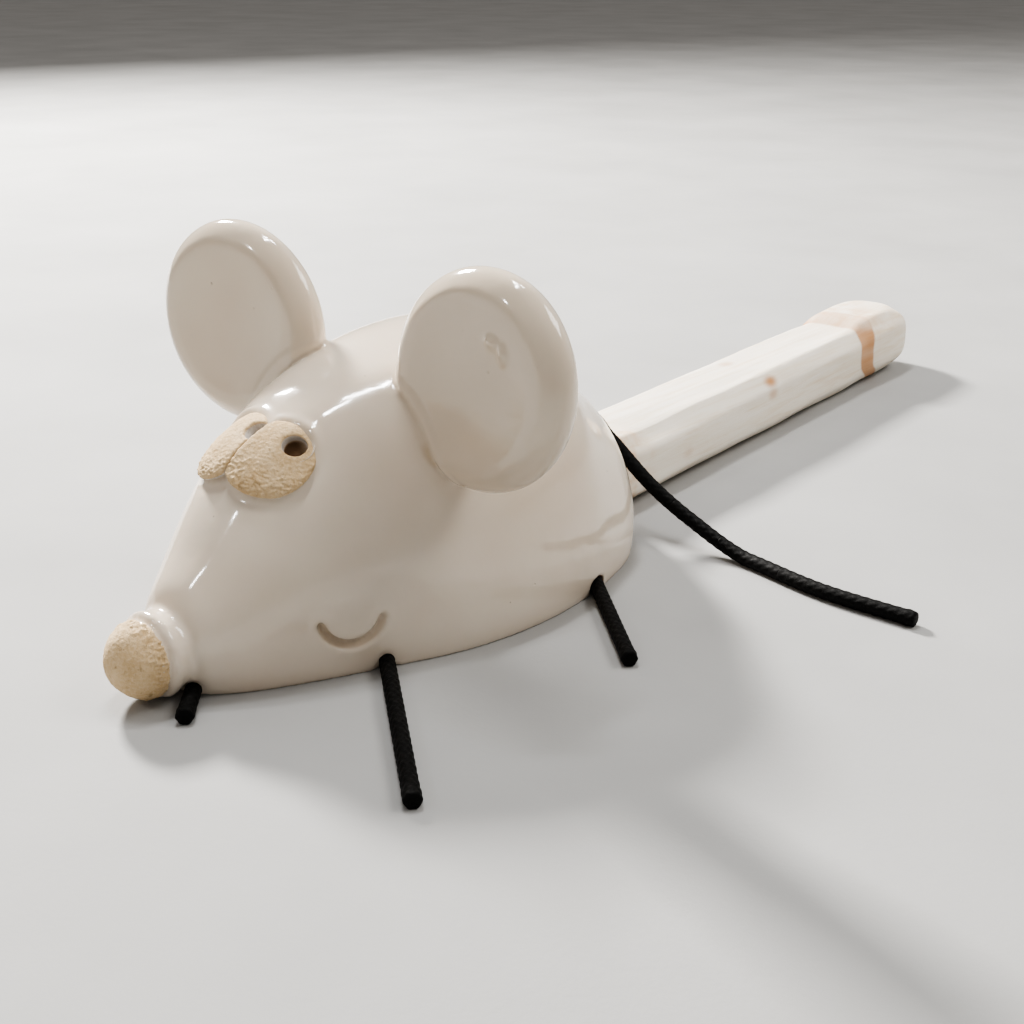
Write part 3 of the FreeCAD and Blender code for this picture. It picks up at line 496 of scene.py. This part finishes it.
def make_skin():
    """Body, slab and ears under one coat of glaze, with soft pools where they join."""
    cords = mouths()
    plugs = [rod(place - 5 * MM * along, place - 0.5 * MM * along, 1.25 * CORD) for place, along in cords]
    bare = meshes_of(EYES + ("nose_button",))
    skin = remeshed("glazed_body", meshes_of(GLAZED) + bare + plugs, SKIN_VOXEL)
    mesh = skin.data
    points = points_of(mesh)
    edges = edges_of(mesh)
    points = relaxed(points, edges, np.ones(len(points)), 2)

    # close to the CAD surface everywhere but where the glaze pools and where a cord comes out
    body = distances(points, nodes["body_shell"].data, 6 * MM)
    join = np.zeros(len(points))
    for ear in EARS:
        apart = np.maximum(distances(points, nodes[ear].data, 6 * MM), body)
        join = np.maximum(join, ramp(apart, 1.6 * MM, 0.4 * MM))
    mouth = np.zeros(len(points))
    for place, along in cords:
        mouth = np.maximum(mouth, ramp(np.linalg.norm(points - np.array(place), axis=1), 3.4 * MM, 2.6 * MM))
    hold = np.clip(1 - join - mouth, 0, 1)
    points = snapped(points, joined(meshes_of(GLAZED) + bare), hold, 1.5 * SKIN_VOXEL)
    points = relaxed(points, edges, np.where(points[:, 2] > 0.3 * MM, 1.0, 0.0), 4)
    points = relaxed(points, edges, join, 14)
    points = relaxed(points, edges, mouth, 10)
    set_points(mesh, points)
    normals = normals_of(mesh)

    # the smile is pressed deeper than the CAD groove alone shows, most of all at its front end
    apart, part = smile_arc(points)
    shift = -(1.9 - 0.9 * part) * MM * bell(apart, 0.0, 0.5 * MM)
    shift += 0.20 * MM * bell(apart, 1.5 * MM, 0.6 * MM)
    # painted shade along the smile groove, strongest at its front end
    smile_painted_shade = bell(apart, 0.0, 0.55 * MM) * (0.9 - 0.5 * part)

    # a groove lies between each ear and the head, with the ear's rim standing beside it; the groove is tinted
    # darker and the ear's face that looks to the front gets painted shade
    groove = np.zeros(len(points))
    face = np.zeros(len(points))
    for ear in EARS:
        apart = distances(points, nodes[ear].data, 4 * MM)
        seam = np.maximum(apart, body)
        front = ramp(normals[:, 1], 0.2, -0.3)
        groove = np.maximum(groove, front * bell(seam, 0.0, 0.75 * MM))
        on_ear = ramp(apart, 0.8 * MM, 0.2 * MM)
        # painted shade: the ear faces that look towards the front are tinted darker
        face = np.maximum(face, front * on_ear * ramp(body, 0.5 * MM, 3 * MM))
        shift += 0.35 * MM * front * on_ear * bell(body, 2.1 * MM, 0.9 * MM)
    shift -= 0.60 * MM * groove

    # under the bare clay the skin stays back; above the eyes it stands as a lip against them
    low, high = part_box("eye_left")
    upper = ramp(points[:, 2], (low.z + high.z) / 2 - 2 * MM, high.z)
    eye = np.minimum(*[distances(points, m, 5 * MM) for m in meshes_of(EYES)])
    glaze = distances(points, joined(meshes_of(GLAZED)), 1 * MM)
    on_pad = ramp(glaze, 0.15 * MM, 0.5 * MM) * ramp(eye, 1.0 * MM, 0.4 * MM)
    beside = 0.25 + 0.75 * ramp(np.abs(points[:, 0]), 6 * MM, 10 * MM)
    shift += 0.62 * MM * upper * beside * bell(eye, 0.9 * MM, 0.8 * MM) * (1 - on_pad)
    shift -= 0.25 * MM * (1 - upper) * bell(eye, 1.3 * MM, 1.0 * MM) * (1 - on_pad)
    shift -= 1.5 * MM * on_pad
    shift -= 0.5 * MM * ramp(distances(points, nodes["nose_button"].data, 4 * MM), 0.4 * MM, 0.0)

    # two ridges round the collar, with a shallow valley behind them
    behind = points[:, 1] - (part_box("nose_button")[1].y - 5.1 * MM)
    wander = 0.2 * MM * wobble(points, 7 * MM, 2.0)
    for place, width, height in ((0.9, 0.7, 0.36), (2.4, 0.55, -0.30), (3.9, 0.9, 0.34), (6.8, 1.5, -0.36)):
        shift += height * MM * bell(behind + wander, place * MM, width * MM)

    # the slab's joint shows as a thin crease low at the rear; the hand leaves broad lumps everywhere
    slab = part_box("base_slab")[1]
    rear = ramp(points[:, 1], slab.y - 15 * MM, slab.y - 9 * MM)
    seam = slab.z * (0.8 + 0.5 * ramp(points[:, 1], slab.y - 15 * MM, slab.y))
    shift -= 0.55 * MM * rear * bell(points[:, 2], seam, 0.40 * MM)
    shift += 0.30 * MM * rear * bell(points[:, 2], seam - 1.2 * MM, 0.6 * MM)
    shift += 0.13 * MM * wobble(points, 15 * MM)
    low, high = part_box("ear_left")
    run = (low.x + 0.66 * (high.x - low.x), 0, low.z + 0.70 * (high.z - low.z))
    shift += 0.95 * MM * np.where(normals[:, 1] < -0.3, glaze_run(points, run), 0.0)
    shift *= ramp(points[:, 2], 0.3 * MM, 1.2 * MM)
    points = points + normals * shift[:, None]
    points[:, 2] = np.maximum(points[:, 2], 0.0)
    points = relaxed(points, edges, np.where(points[:, 2] > 0.5 * MM, 1.0, 0.0), 3)
    set_points(mesh, points)
    # brown tint: darker blotches along the ear joins, thin glaze where it meets the eyes, darker along the
    # ear grooves, painted shade in the smile and on the ear faces
    thin_glaze_and_painted_shade = 0.5 * join * ramp(wobble(points, 6 * MM, 3.0), 0.05, 0.5)
    thin_glaze_and_painted_shade += 0.35 * ramp(glaze + eye, 1.2 * MM, 0.3 * MM)
    patches = ramp(wobble(points, 9 * MM, 6.0), -0.1, 0.2)
    store(mesh, "blistered", ramp(points[:, 2], 56 * MM, 62 * MM) * patches)
    store(mesh, "thin_glaze_and_painted_shade", np.clip(thin_glaze_and_painted_shade + 0.9 * smile_painted_shade + 0.6 * groove + 0.3 * face, 0, 1))
    dress(skin, glaze_material())
    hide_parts(*GLAZED)
    return skin


# ---------------------------------------------------------------- bare clay
def rough_clay(name, voxel, coarse, material, outward=None, rise=None):
    """A bare clay part from its CAD node, with softened edges and a crumbly face.

    coarse gives the roughness at each point. A pierced part also has outward, the way its hole
    faces, and rise, how far the part stands out that way at each point.
    """
    source = nodes[name].data
    piece = remeshed(name + "_clay", [source], voxel)
    mesh = piece.data
    points = points_of(mesh)
    edges = edges_of(mesh)
    points = relaxed(points, edges, np.ones(len(points)), 10)
    set_points(mesh, points)
    depth = np.zeros(len(points))
    if outward is not None:
        depth = depth_below(points, hull_of(source), outward)
    outer = ramp(depth, 0.5 * MM, 0.1 * MM)
    grain = wobble(points * (1.0, 1.0, 2.2), 0.9 * MM) + 0.6 * wobble(points, 0.42 * MM, 5.0)
    lumps = wobble(points, 4 * MM, 9.0)
    shift = outer * (0.15 * MM * coarse(points) * grain + 0.15 * MM * lumps)
    shifted = points + normals_of(mesh) * shift[:, None]
    if outward is not None:
        shifted += rise(points)[:, None] * outward
    set_points(mesh, shifted)
    # painted shade at the bottom of the hole; grey glaze on its walls
    store(mesh, "hole_bottom_painted_shade", ramp(depth, 1.8 * MM, 2.6 * MM))
    store(mesh, "glazed", ramp(depth, 0.3 * MM, 0.6 * MM) * ramp(depth, 2.6 * MM, 1.8 * MM))
    dress(piece, material)
    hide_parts(name)
    return piece


def make_eyes(material):
    """Eyes: coarse and proud below, smoother and sunk into the glaze above and outwards."""
    for name in EYES:
        low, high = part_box(name)
        middle = (low.z + high.z) / 2
        rough_clay(name, 0.22 * MM,
                   lambda points: 0.35 + 1.5 * ramp(points[:, 2], middle + 2 * MM, low.z + 2 * MM), material,
                   thin_axis(points_of(nodes[name].data)),
                   lambda points: 0.25 * MM * ramp(points[:, 2], middle, low.z + 2 * MM)
                   - 0.35 * MM * ramp(points[:, 2], middle, high.z)
                   - 1.0 * MM * ramp(np.abs(points[:, 0]), 6 * MM, 13 * MM))


def make_nose(material):
    """Nose: crumbly where it meets the collar, rubbed smoother at its tip."""
    low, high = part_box("nose_button")
    rough_clay("nose_button", 0.28 * MM,
               lambda points: 0.5 + 1.6 * ramp(points[:, 1], (low.y + high.y) / 2 - 2 * MM, high.y - 5 * MM),
               material)


# ---------------------------------------------------------------- stake
def rounded_end(points, place, across, side):
    """The stake's points, with its far end held inside a rounded block; place is 0 at the tip."""
    length, power = 14 * MM, 2.4
    near = (place > -length - 3 * MM) & (place < -length)
    low, high = points[near].min(0)[2], points[near].max(0)[2]
    left, right = across[near].min(), across[near].max()
    wide = (2 * across - left - right) / (right - left)
    tall = (2 * points[:, 2] - low - high) / (high - low)
    size = (np.abs(wide) ** power + np.abs(tall) ** power) ** (1 / power)
    part = np.clip(1 + place / length, 0, 0.999)
    room = (1 - part ** power) ** (1 / power)
    corner = np.maximum(1 - part, 0) * 0.12
    share = np.where(place > -length, np.minimum(1, (room + corner) / np.maximum(size, 1e-6)), 1.0)
    points = points + ((share - 1) * (across - (left + right) / 2))[:, None] * side
    points[:, 2] += (share - 1) * (points[:, 2] - (low + high) / 2)
    return points


def make_stake():
    """Whittled lath with softened facets, a rounded end and shallow knife cuts."""
    low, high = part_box("stake")
    piece = remeshed("whittled_stake", [nodes["stake"].data], 0.6 * MM)
    mesh = piece.data
    points = points_of(mesh)
    edges = edges_of(mesh)
    axis = Vector(joints["stake_slide"]["axis"])
    axis = axis if axis.y > 0 else -axis
    side = np.array(axis.cross(Vector((0, 0, 1))))
    tenon = points[points[:, 1] < low.y + 10 * MM]
    start = (tenon.min(0) + tenon.max(0)) / 2
    middle = 0.5 * (low.z + high.z)

    def spots():
        """Place of each point: along the stake from its far end, and across it."""
        return (points - start) @ np.array(axis), (points - start) @ side

    along, across = spots()
    place = along - along.max()
    points = rounded_end(points, place, across, side)
    shoulder = bell(place, -35 * MM, 7 * MM)
    points = relaxed(points, edges, np.ones(len(points)), 5)
    points = relaxed(points, edges, np.clip(0.8 * shoulder, 0, 1), 80)
    points = relaxed(points, edges, ramp(place, -20 * MM, -12 * MM), 20)
    set_points(mesh, points)
    normals = normals_of(mesh)
    cuts = wobble(points * (1.0, 0.28, 1.0), 7 * MM)
    long_cuts = wobble(points * (1.0, 0.12, 1.0), 5 * MM, 4.0)
    blade = ramp(points[:, 1], low.y + 45 * MM, low.y + 52 * MM)
    shift = blade * (0.35 * MM * cuts + 0.30 * MM * long_cuts)
    # a knife facet takes the top edge off near the body
    edge = bell(across, 9.5 * MM, 4.5 * MM) * ramp(points[:, 2], middle, high.z - 1 * MM)
    facet = bell(along, along.max() - 150 * MM, 16 * MM) + 0.6 * bell(along, along.max() - 118 * MM, 14 * MM)
    shift -= 1.3 * MM * edge * facet * blade
    points = points + normals * shift[:, None]
    points = relaxed(points, edges, blade, 2)
    points[:, 2] = np.maximum(points[:, 2], 0.05 * MM)
    set_points(mesh, points)
    along, across = spots()
    place = along - along.max()
    bulge = 1 - ((points[:, 2] - 11 * MM) / (10 * MM)) ** 2
    centre = -31.5 * MM - 5.0 * MM * np.clip(bulge, -1, 1) + 0.2 * MM * wobble(points, 4 * MM)
    centre += 6 * MM * ramp(points[:, 2], 7 * MM, 0.0)
    faded = 0.35 + 0.65 * ramp(points[:, 2], high.z - 0.8 * MM, high.z - 3.5 * MM)
    store(mesh, "band", faded * ramp(np.abs(place - centre), 4.3 * MM, 3.3 * MM))
    near_end = ramp(place, -152 * MM, -168 * MM)
    far_top = 0.55 * bell(place, -26 * MM, 14 * MM) * ramp(points[:, 2], middle, high.z)
    store(mesh, "stain", np.clip(near_end + far_top, 0, 1))
    knot = np.zeros(len(points))
    # each knot: across the stake, along from its far end, height and radius in millimetres, strength
    marks = ((11.5, -95.0, 16.6, 1.9, 1.0), (11.8, -95.6, 12.6, 1.2, 0.45), (-4.0, -94.5, 19.5, 1.9, 0.55),
             (11.5, -140.0, 8.0, 1.2, 0.25))
    for x, y, z, radius, strength in marks:
        away = np.stack([across - x * MM, 0.6 * (place - y * MM), points[:, 2] - z * MM], 1)
        away = np.linalg.norm(away, axis=1)
        knot = np.maximum(knot, strength * ramp(away, (radius + 1.2) * MM, (radius - 0.9) * MM))
    store(mesh, "knot", knot)
    dress(piece, wood_material(), "stake")
    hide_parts("stake")
    return piece


# ---------------------------------------------------------------- cords
STRANDS = 6
LAY = 4.6 * MM
AROUND = 36
STEP = 0.24 * MM


def spline(points, step):
    """Even points on a smooth curve through these points, and the length at each given point."""
    path = [2 * points[0] - points[1]] + list(points) + [2 * points[-1] - points[-2]]
    dense, marks = [], []
    for before, start, end, after in zip(path, path[1:], path[2:], path[3:]):
        marks.append(len(dense))
        for part in np.arange(0, 1, 0.02):
            a = 2 * start
            b = (end - before) * part
            c = (2 * before - 5 * start + 4 * end - after) * part ** 2
            d = (3 * start - before - 3 * end + after) * part ** 3
            dense.append(0.5 * (a + b + c + d))
    marks.append(len(dense))
    dense.append(points[-1])
    dense = np.array(dense)
    run = np.concatenate([[0], np.cumsum(np.linalg.norm(np.diff(dense, axis=0), axis=1))])
    count = max(int(run[-1] / step), 8)
    even = np.linspace(0, run[-1], count)
    line = np.stack([np.interp(even, run, dense[:, k]) for k in range(3)], 1)
    return line, even, run[marks]


def frames_along(line):
    """Two unit vectors across the line at each point, turning as little as possible."""
    ahead = np.gradient(line, axis=0)
    ahead /= np.linalg.norm(ahead, axis=1)[:, None]
    side = np.cross(ahead[0], (0.0, 0.0, 1.0))
    if np.linalg.norm(side) < 0.1:
        side = np.cross(ahead[0], (1.0, 0.0, 0.0))
    sides = []
    for direction in ahead:
        side = side - direction * side.dot(direction)
        side = side / np.linalg.norm(side)
        sides.append(side)
    sides = np.array(sides)
    return sides, np.cross(ahead, sides)


def braid(run, angle):
    """Height of the braid, 0 to 1: diamonds where the two sets of strands cross."""
    first = STRANDS * angle / (2 * math.pi) + run / LAY * 2
    second = STRANDS * angle / (2 * math.pi) - run / LAY * 2
    over = np.cos(math.pi * (np.floor(first) + np.floor(second)))
    along_first = np.abs(np.sin(math.pi * first)) ** 0.6
    along_second = np.abs(np.sin(math.pi * second)) ** 0.6
    return np.where(over > 0, along_first * along_second ** 0.5, along_second * along_first ** 0.5)


def tube(name, line, run, radius):
    """Closed braided tube along the line; radius gives the half width at each point."""
    sides, ups = frames_along(line)
    angles = np.linspace(0, 2 * math.pi, AROUND, endpoint=False)
    heights = braid(run[:, None], angles[None, :])
    wide = radius[:, None] * (0.91 + 0.11 * heights)
    rings = (line[:, None, :] + wide[..., None] * (np.cos(angles)[None, :, None] * sides[:, None, :]
                                                   + np.sin(angles)[None, :, None] * ups[:, None, :]))
    count = len(line)
    vertices = list(rings.reshape(-1, 3)) + [line[0], line[-1]]
    faces = []
    for ring in range(count - 1):
        for k in range(AROUND):
            n = (k + 1) % AROUND
            here, ahead = ring * AROUND, (ring + 1) * AROUND
            faces.append((here + k, here + n, ahead + n, ahead + k))
    first, last = count * AROUND, count * AROUND + 1
    for k in range(AROUND):
        n = (k + 1) % AROUND
        faces.append((first, n, k))
        faces.append((last, (count - 1) * AROUND + k, (count - 1) * AROUND + n))
    mesh = bpy.data.meshes.new(name)
    mesh.from_pydata([tuple(v) for v in vertices], [], faces)
    return new_piece(name, mesh)


def cord_radius(run, total):
    """Even cord with a stopper knot at its inner end and a soft, slightly flared cut end."""
    knot = (KNOT - CORD) * bell(run, KNOT, 0.62 * KNOT)
    flare = 0.12 * MM * bell(run, total - 1.6 * MM, 1.4 * MM)
    left = np.clip((total - run) / (0.4 * MM), 0, 1)
    return (CORD + knot + flare) * (0.82 + 0.18 * np.sqrt(1 - (1 - left) ** 2))


def make_cord(name, path, bodies, shown_nodes, material):
    """A cord along the path: path[0] is its knot, then a pivot per joint, then its tip.

    bodies holds the body on each side of each pivot. The cord is cut midway between pivots.
    """
    path = [np.array(p, float) for p in path]
    line, run, marks = spline(path, STEP)
    line[:, 2] = np.maximum(line[:, 2], min(p[2] for p in path))
    total = run[-1]
    radius = cord_radius(run, total)
    pivots = marks[-len(bodies):-1] if len(bodies) > 1 else marks[1:-1]
    cuts = [0.0] + [(a + b) / 2 for a, b in zip(pivots, pivots[1:])] + [total]
    for index, pivot in enumerate(pivots):
        chosen = np.flatnonzero((run >= cuts[index] - STEP) & (run <= cuts[index + 1] + 1e-9))
        piece = tube("%s_%d" % (name, index + 1), line[chosen], run[chosen], radius[chosen])
        dress(piece, material, None)
        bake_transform(piece)
        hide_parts(*shown_nodes[index])


def pivot_of(joint):
    return Vector(joints[joint]["pos_m"])


def leg_direction(joint):
    """Way the cord runs at a droop joint: square to its axis, in the table's plane."""
    axis = joints[joint]["axis"]
    return Vector((axis[1], -axis[0], 0))


def far_end(node, pivot, direction):
    reach = max((v.co - pivot).dot(direction) for v in nodes[node].data.vertices)
    return pivot + direction * reach


def knot_of(anchor, direction):
    """Middle of the stopper knot: the end of the anchor's box that the cord comes from."""
    low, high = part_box(anchor)
    x = low.x + KNOT if direction.x > 0 else high.x - KNOT
    y = low.y + KNOT if direction.y > 0 else high.y - KNOT
    return Vector((x, y, high.z - KNOT))


def make_legs(material):
    for leg in LEGS:
        name = "leg_" + leg
        droop = name + "_droop"
        along = leg_direction(droop)
        knee = pivot_of(droop)
        tip = far_end(name + "_lower", knee, along)
        knot = knot_of(name + "_anchor", along)
        floor = Vector((knot.x, knot.y, knee.z)) + along * 1.6 * MM
        if name + "_swing" in joints:
            hip = pivot_of(name + "_swing")
            path = [knot, floor, hip, knee, tip]
            bodies = ("root", name + "_upper", name + "_lower")
            shown = ((name + "_anchor", name + "_upper"), (name + "_lower",))
        else:
            path = [knot, floor, knee, tip]
            bodies = ("root", name + "_lower")
            shown = ((name + "_anchor", name + "_lower"),)
        make_cord(name, path, bodies, shown, material)


def tail_knot():
    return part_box("tail_anchor")[0] + Vector((KNOT, KNOT, KNOT))


def make_tail(material):
    chain = ["tail_swing", "tail_lift", "tail_curl", "tail_curl_2", "tail_curl_3", "tail_curl_4"]
    pivots = [pivot_of(joint) for joint in chain]
    low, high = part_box("tail_tip")
    tip = Vector((high.x, (low.y + high.y) / 2, (low.z + high.z) / 2))
    links = [joints[joint]["child"] for joint in chain]
    shown = [("tail_anchor", links[0])] + [(link,) for link in links[1:]]
    make_cord("tail", [tail_knot()] + pivots + [tip], ["root"] + links, shown, material)


# ---------------------------------------------------------------- stage
FLOOR_HALF = 9.0
LIT_POINT = (0.02, 0.02, 0.03)
CAMERA_TARGET = Vector((31.7, 3.5, 25.0)) * MM
CAMERA_PLACE = Vector((198.16, -192.09, 128.77)) * MM


def stage_material(name, low, high):
    g = Graph(name)
    clouds = g.noise(90, 4.0, 0.55)
    colour = g.ramp(clouds, ((0.3, low), (0.7, high)))
    fine = g.noise(1.6, 4.0, 0.7)
    bump = g.bump(fine, 0.06)
    return g.finish(Base_Color=colour, Roughness=0.75, Normal=bump, Specular_IOR_Level=0.25)


def make_floor():
    corners = [(-FLOOR_HALF, -FLOOR_HALF, 0), (FLOOR_HALF, -FLOOR_HALF, 0),
               (FLOOR_HALF, FLOOR_HALF, 0), (-FLOOR_HALF, FLOOR_HALF, 0)]
    mesh = bpy.data.meshes.new("floor")
    mesh.from_pydata(corners, [], [(0, 1, 2, 3)])
    floor = new_piece("floor", mesh)
    mesh.materials.append(stage_material("pale_floor", (0.33, 0.33, 0.325), (0.39, 0.39, 0.385)))


def make_light(name, place, target, width, height, power, colour=(1, 1, 1)):
    light = bpy.data.lights.new(name, "AREA")
    light.shape = "RECTANGLE"
    light.size, light.size_y = width, height
    light.energy = power
    light.color = colour
    lamp = bpy.data.objects.new(name, light)
    lamp.location = place
    lamp.rotation_mode = "QUATERNION"
    lamp.rotation_quaternion = (Vector(target) - Vector(place)).to_track_quat("-Z", "Y")
    bpy.context.scene.collection.objects.link(lamp)


def lamp_place(azimuth, height, distance):
    """Place of a lamp seen from the object's middle at this azimuth and height in degrees."""
    azimuth, height = math.radians(azimuth), math.radians(height)
    flat = distance * math.cos(height)
    return Vector((flat * math.cos(azimuth), flat * math.sin(azimuth), distance * math.sin(height)))


def make_room():
    """Soft warm room light: dim at the horizon and brighter overhead."""
    world = bpy.data.worlds.new("soft_room")
    world.use_nodes = True
    tree = world.node_tree
    background = tree.nodes["Background"]
    texture = tree.nodes.new("ShaderNodeTexCoord")
    split = tree.nodes.new("ShaderNodeSeparateXYZ")
    shade = tree.nodes.new("ShaderNodeValToRGB")
    shade.color_ramp.elements[0].position = 0.02
    shade.color_ramp.elements[0].color = (0.62, 0.59, 0.56, 1)
    shade.color_ramp.elements[1].position = 0.7
    shade.color_ramp.elements[1].color = (0.78, 0.74, 0.70, 1)
    tree.links.new(texture.outputs["Generated"], split.inputs[0])
    tree.links.new(split.outputs["Z"], shade.inputs[0])
    tree.links.new(shade.outputs[0], background.inputs["Color"])
    background.inputs["Strength"].default_value = 0.42
    bpy.context.scene.world = world


def make_stage():
    make_floor()
    make_room()
    make_light("window_back", lamp_place(160, 33, 1.2), LIT_POINT, 0.16, 0.16, 42.0, (1.0, 0.965, 0.92))
    make_light("window_high", lamp_place(165, 80, 0.8), LIT_POINT, 0.17, 0.028, 1.6)
    make_light("window_high_second", lamp_place(128, 73, 0.8), LIT_POINT, 0.17, 0.028, 1.6)
    make_light("window_front", lamp_place(-118, 43, 0.9), LIT_POINT, 0.045, 0.06, 0.6)
    make_light("soft_rear", lamp_place(48, 48, 1.4), LIT_POINT, 0.7, 0.5, 9.0, (1.0, 0.97, 0.93))
    bpy.context.scene.view_settings.look = "AgX - Medium High Contrast"
    bpy.context.scene.view_settings.exposure = 0.2


def make_camera():
    """Camera at the height and side the object was seen from, about 28 cm away."""
    data = bpy.data.cameras.new("camera")
    data.lens = 50
    data.sensor_width = 36
    data.clip_start = 0.01
    camera = bpy.data.objects.new("camera", data)
    camera.location = CAMERA_PLACE
    camera.rotation_mode = "QUATERNION"
    camera.rotation_quaternion = (CAMERA_TARGET - CAMERA_PLACE).to_track_quat("-Z", "Y")
    bpy.context.scene.collection.objects.link(camera)
    bpy.context.scene.camera = camera


# ---------------------------------------------------------------- the scene
make_skin()
clay = clay_material("bare_clay")
make_eyes(clay)
make_nose(clay)
make_stake()
black = cord_material()
make_legs(black)
make_tail(black)
nodes["stake_socket"].data.materials.clear()
nodes["stake_socket"].data.materials.append(clay)
make_stage()
make_camera()
